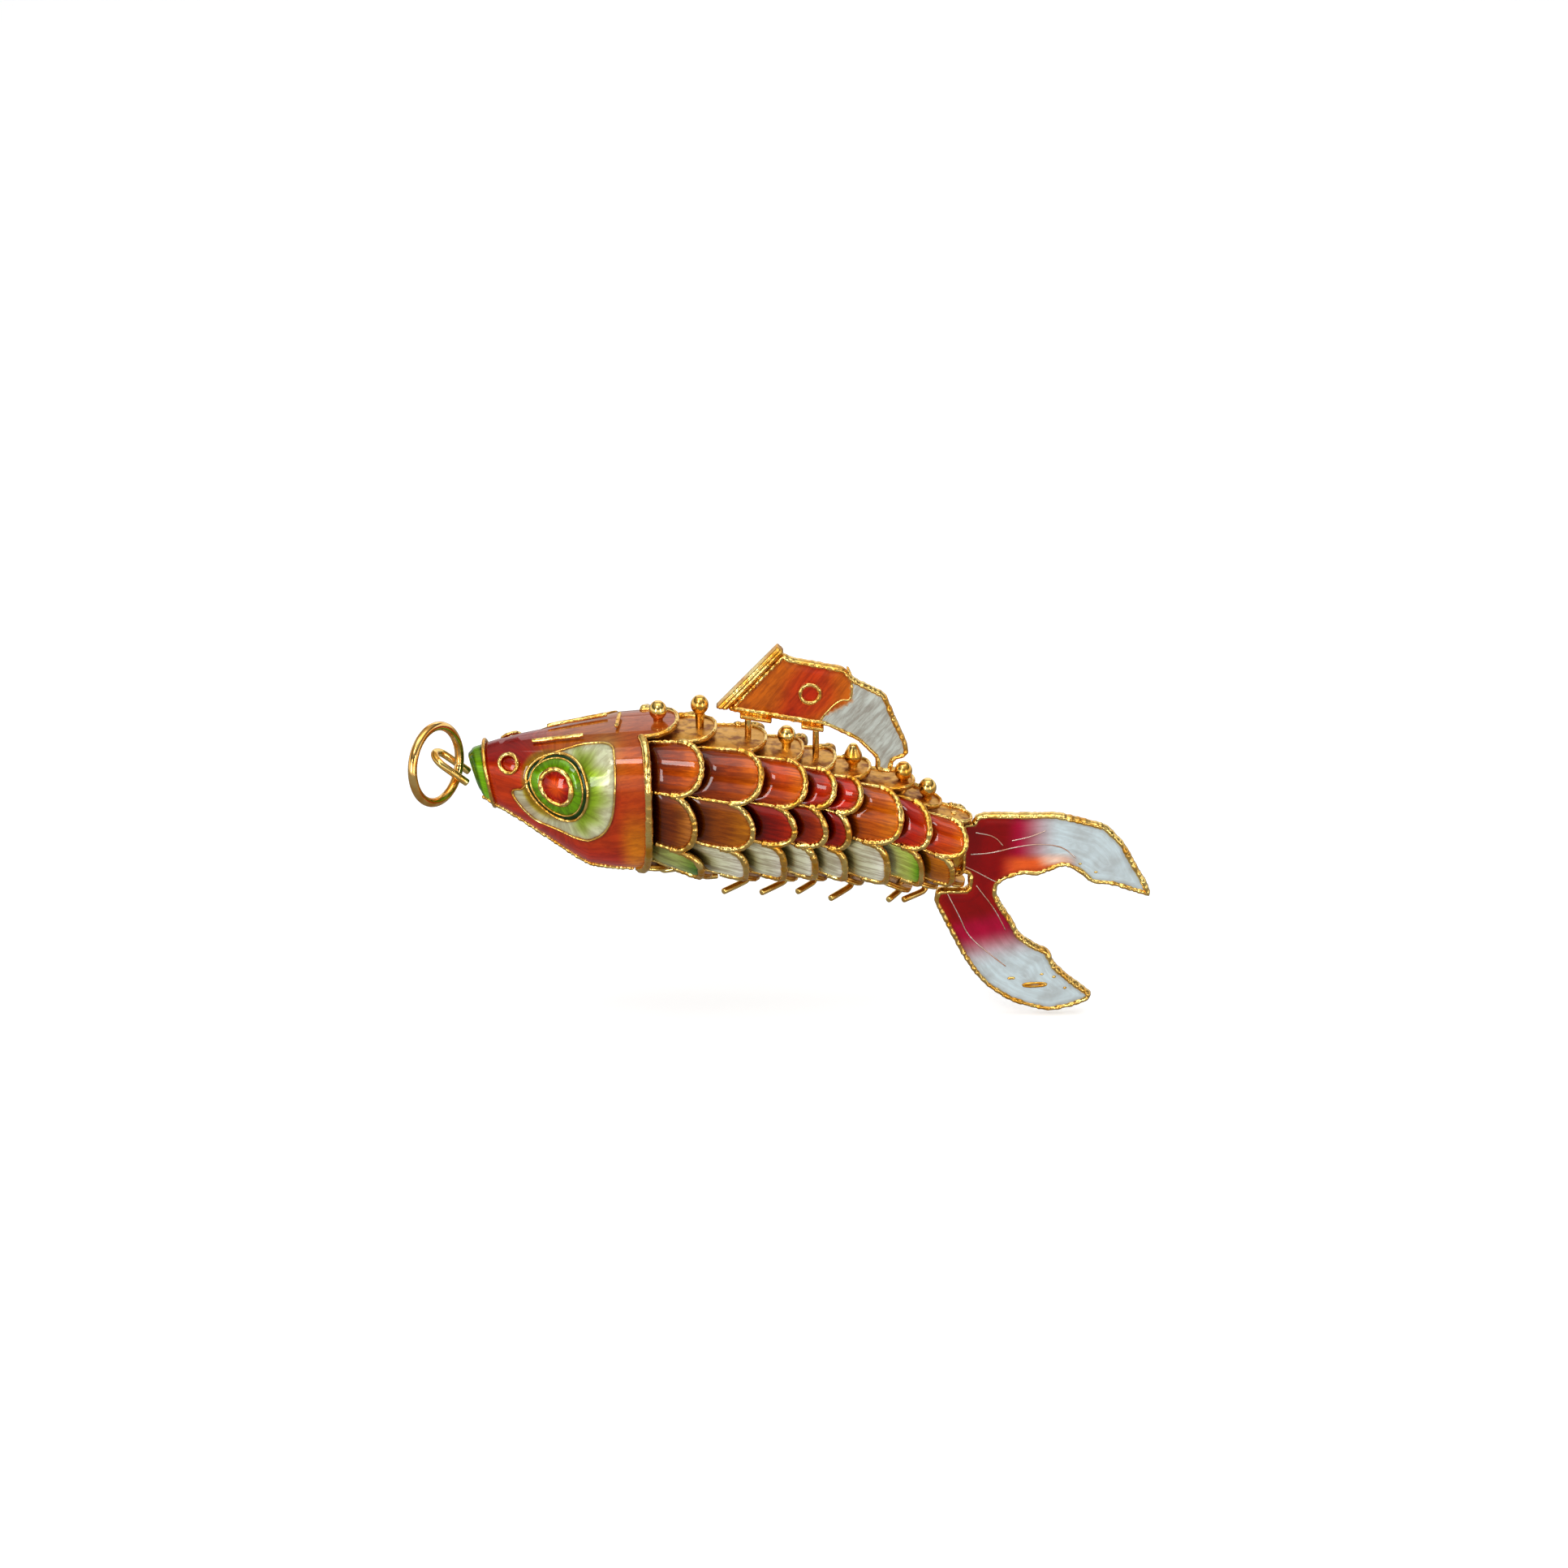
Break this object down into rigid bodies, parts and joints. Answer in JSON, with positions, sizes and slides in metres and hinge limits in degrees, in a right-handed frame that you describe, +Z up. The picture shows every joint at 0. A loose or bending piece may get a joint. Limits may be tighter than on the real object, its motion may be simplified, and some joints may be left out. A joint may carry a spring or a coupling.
{
  "type": "articulated enamel fish pendant",
  "caption": "Jointed cloisonne enamel koi pendant: hollow head with a wire ring, nested scaled sleeves on vertical pins, a dorsal fin on two pins and a forked tail that swings.",
  "frame": {"origin": "front of the nose eye, on the middle plane, where the jump ring pulls", "axes": "+X from the nose to the tail, +Z up through the back, +Y to the fish's right side"},
  "size_m": [0.0647, 0.012, 0.0357],
  "materials": {
    "gilt_metal": "polished gilt, rough along the wire rims",
    "ring_metal": "polished gilt wire",
    "head_enamel": "glossy translucent enamel, red to coral",
    "eye_enamel": "glossy green enamel with an orange pupil",
    "scale_enamel": "glossy translucent enamel over engraved metal",
    "fin_enamel": "glossy translucent enamel, orange to silver white",
    "tail_enamel": "glossy translucent enamel, deep red to blue white"
  },
  "bodies": {
    "head": {"head_shell": "head_enamel", "mouth_wire": "gilt_metal", "eye_left": "eye_enamel", "eye_right": "eye_enamel", "nostril_ring_left": "gilt_metal", "nostril_ring_right": "gilt_metal", "crown_wire_left": "gilt_metal", "crown_wire_right": "gilt_metal", "crown_cross_wire": "gilt_metal", "nose_eye": "gilt_metal", "pin_1": "gilt_metal"},
    "jump_ring": {"jump_ring": "ring_metal"},
    "segment_1": {"segment_1": "scale_enamel", "pin_2": "gilt_metal"},
    "segment_2": {"segment_2": "scale_enamel"},
    "segment_3": {"segment_3": "scale_enamel", "pin_4": "gilt_metal"},
    "segment_4": {"segment_4": "scale_enamel"},
    "segment_5": {"segment_5": "scale_enamel", "pin_6": "gilt_metal"},
    "segment_6": {"segment_6": "scale_enamel", "pin_7": "gilt_metal"},
    "segment_7": {"segment_7": "scale_enamel", "pin_8": "gilt_metal"},
    "segment_8": {"segment_8": "scale_enamel", "tail_rivet": "gilt_metal"},
    "dorsal_fin": {"dorsal_fin": "fin_enamel", "fin_leading_band": "gilt_metal", "fin_flange_front": "gilt_metal", "fin_flange_rear": "gilt_metal", "fin_ring_left": "gilt_metal", "fin_ring_right": "gilt_metal", "fin_post_front": "gilt_metal", "fin_post_rear": "gilt_metal"},
    "tail_fin": {"tail_fin": "tail_enamel"}
  },
  "joints": [
    {"name": "ring_swing", "type": "hinge", "parent": "head", "child": "jump_ring", "pos_m": [0.00229, 0, -0.00182], "axis": [0, 1, 0], "range_deg": [-32, 5]},
    {"name": "hinge_1", "type": "hinge", "parent": "head", "child": "segment_1", "pos_m": [0.01975, 0, 0], "axis": [0, 0, 1], "range_deg": [-10, 10]},
    {"name": "hinge_2", "type": "hinge", "parent": "segment_1", "child": "segment_2", "pos_m": [0.02336, 0, 0], "axis": [0, 0, 1], "range_deg": [-10, 10]},
    {"name": "hinge_3", "type": "hinge", "parent": "segment_2", "child": "segment_3", "pos_m": [0.02754, 0, 0], "axis": [0, 0, 1], "range_deg": [-10, 10]},
    {"name": "hinge_4", "type": "hinge", "parent": "segment_3", "child": "segment_4", "pos_m": [0.03087, 0, 0], "axis": [0, 0, 1], "range_deg": [-10, 10]},
    {"name": "hinge_5", "type": "hinge", "parent": "segment_4", "child": "segment_5", "pos_m": [0.03342, 0, 0], "axis": [0, 0, 1], "range_deg": [-10, 10]},
    {"name": "hinge_6", "type": "hinge", "parent": "segment_5", "child": "segment_6", "pos_m": [0.03667, 0, 0], "axis": [0, 0, 1], "range_deg": [-10, 10]},
    {"name": "hinge_7", "type": "hinge", "parent": "segment_6", "child": "segment_7", "pos_m": [0.04106, 0, 0], "axis": [0, 0, 1], "range_deg": [-10, 10]},
    {"name": "hinge_8", "type": "hinge", "parent": "segment_7", "child": "segment_8", "pos_m": [0.04319, 0, 0], "axis": [0, 0, 1], "range_deg": [-10, 10]},
    {"name": "tail_swing", "type": "hinge", "parent": "segment_8", "child": "tail_fin", "pos_m": [0.0455, 0, 0], "axis": [0, 0, 1], "range_deg": [-25, 25]},
    {"name": "fin_turn", "type": "hinge", "parent": "segment_3", "child": "dorsal_fin", "pos_m": [0.02754, 0, 0], "axis": [0, 0, 1], "range_deg": [-5, 5]}
  ],
  "couplings": [
    {"joint": "fin_turn", "follows": "hinge_4", "ratio": 0.43367}
  ]
}
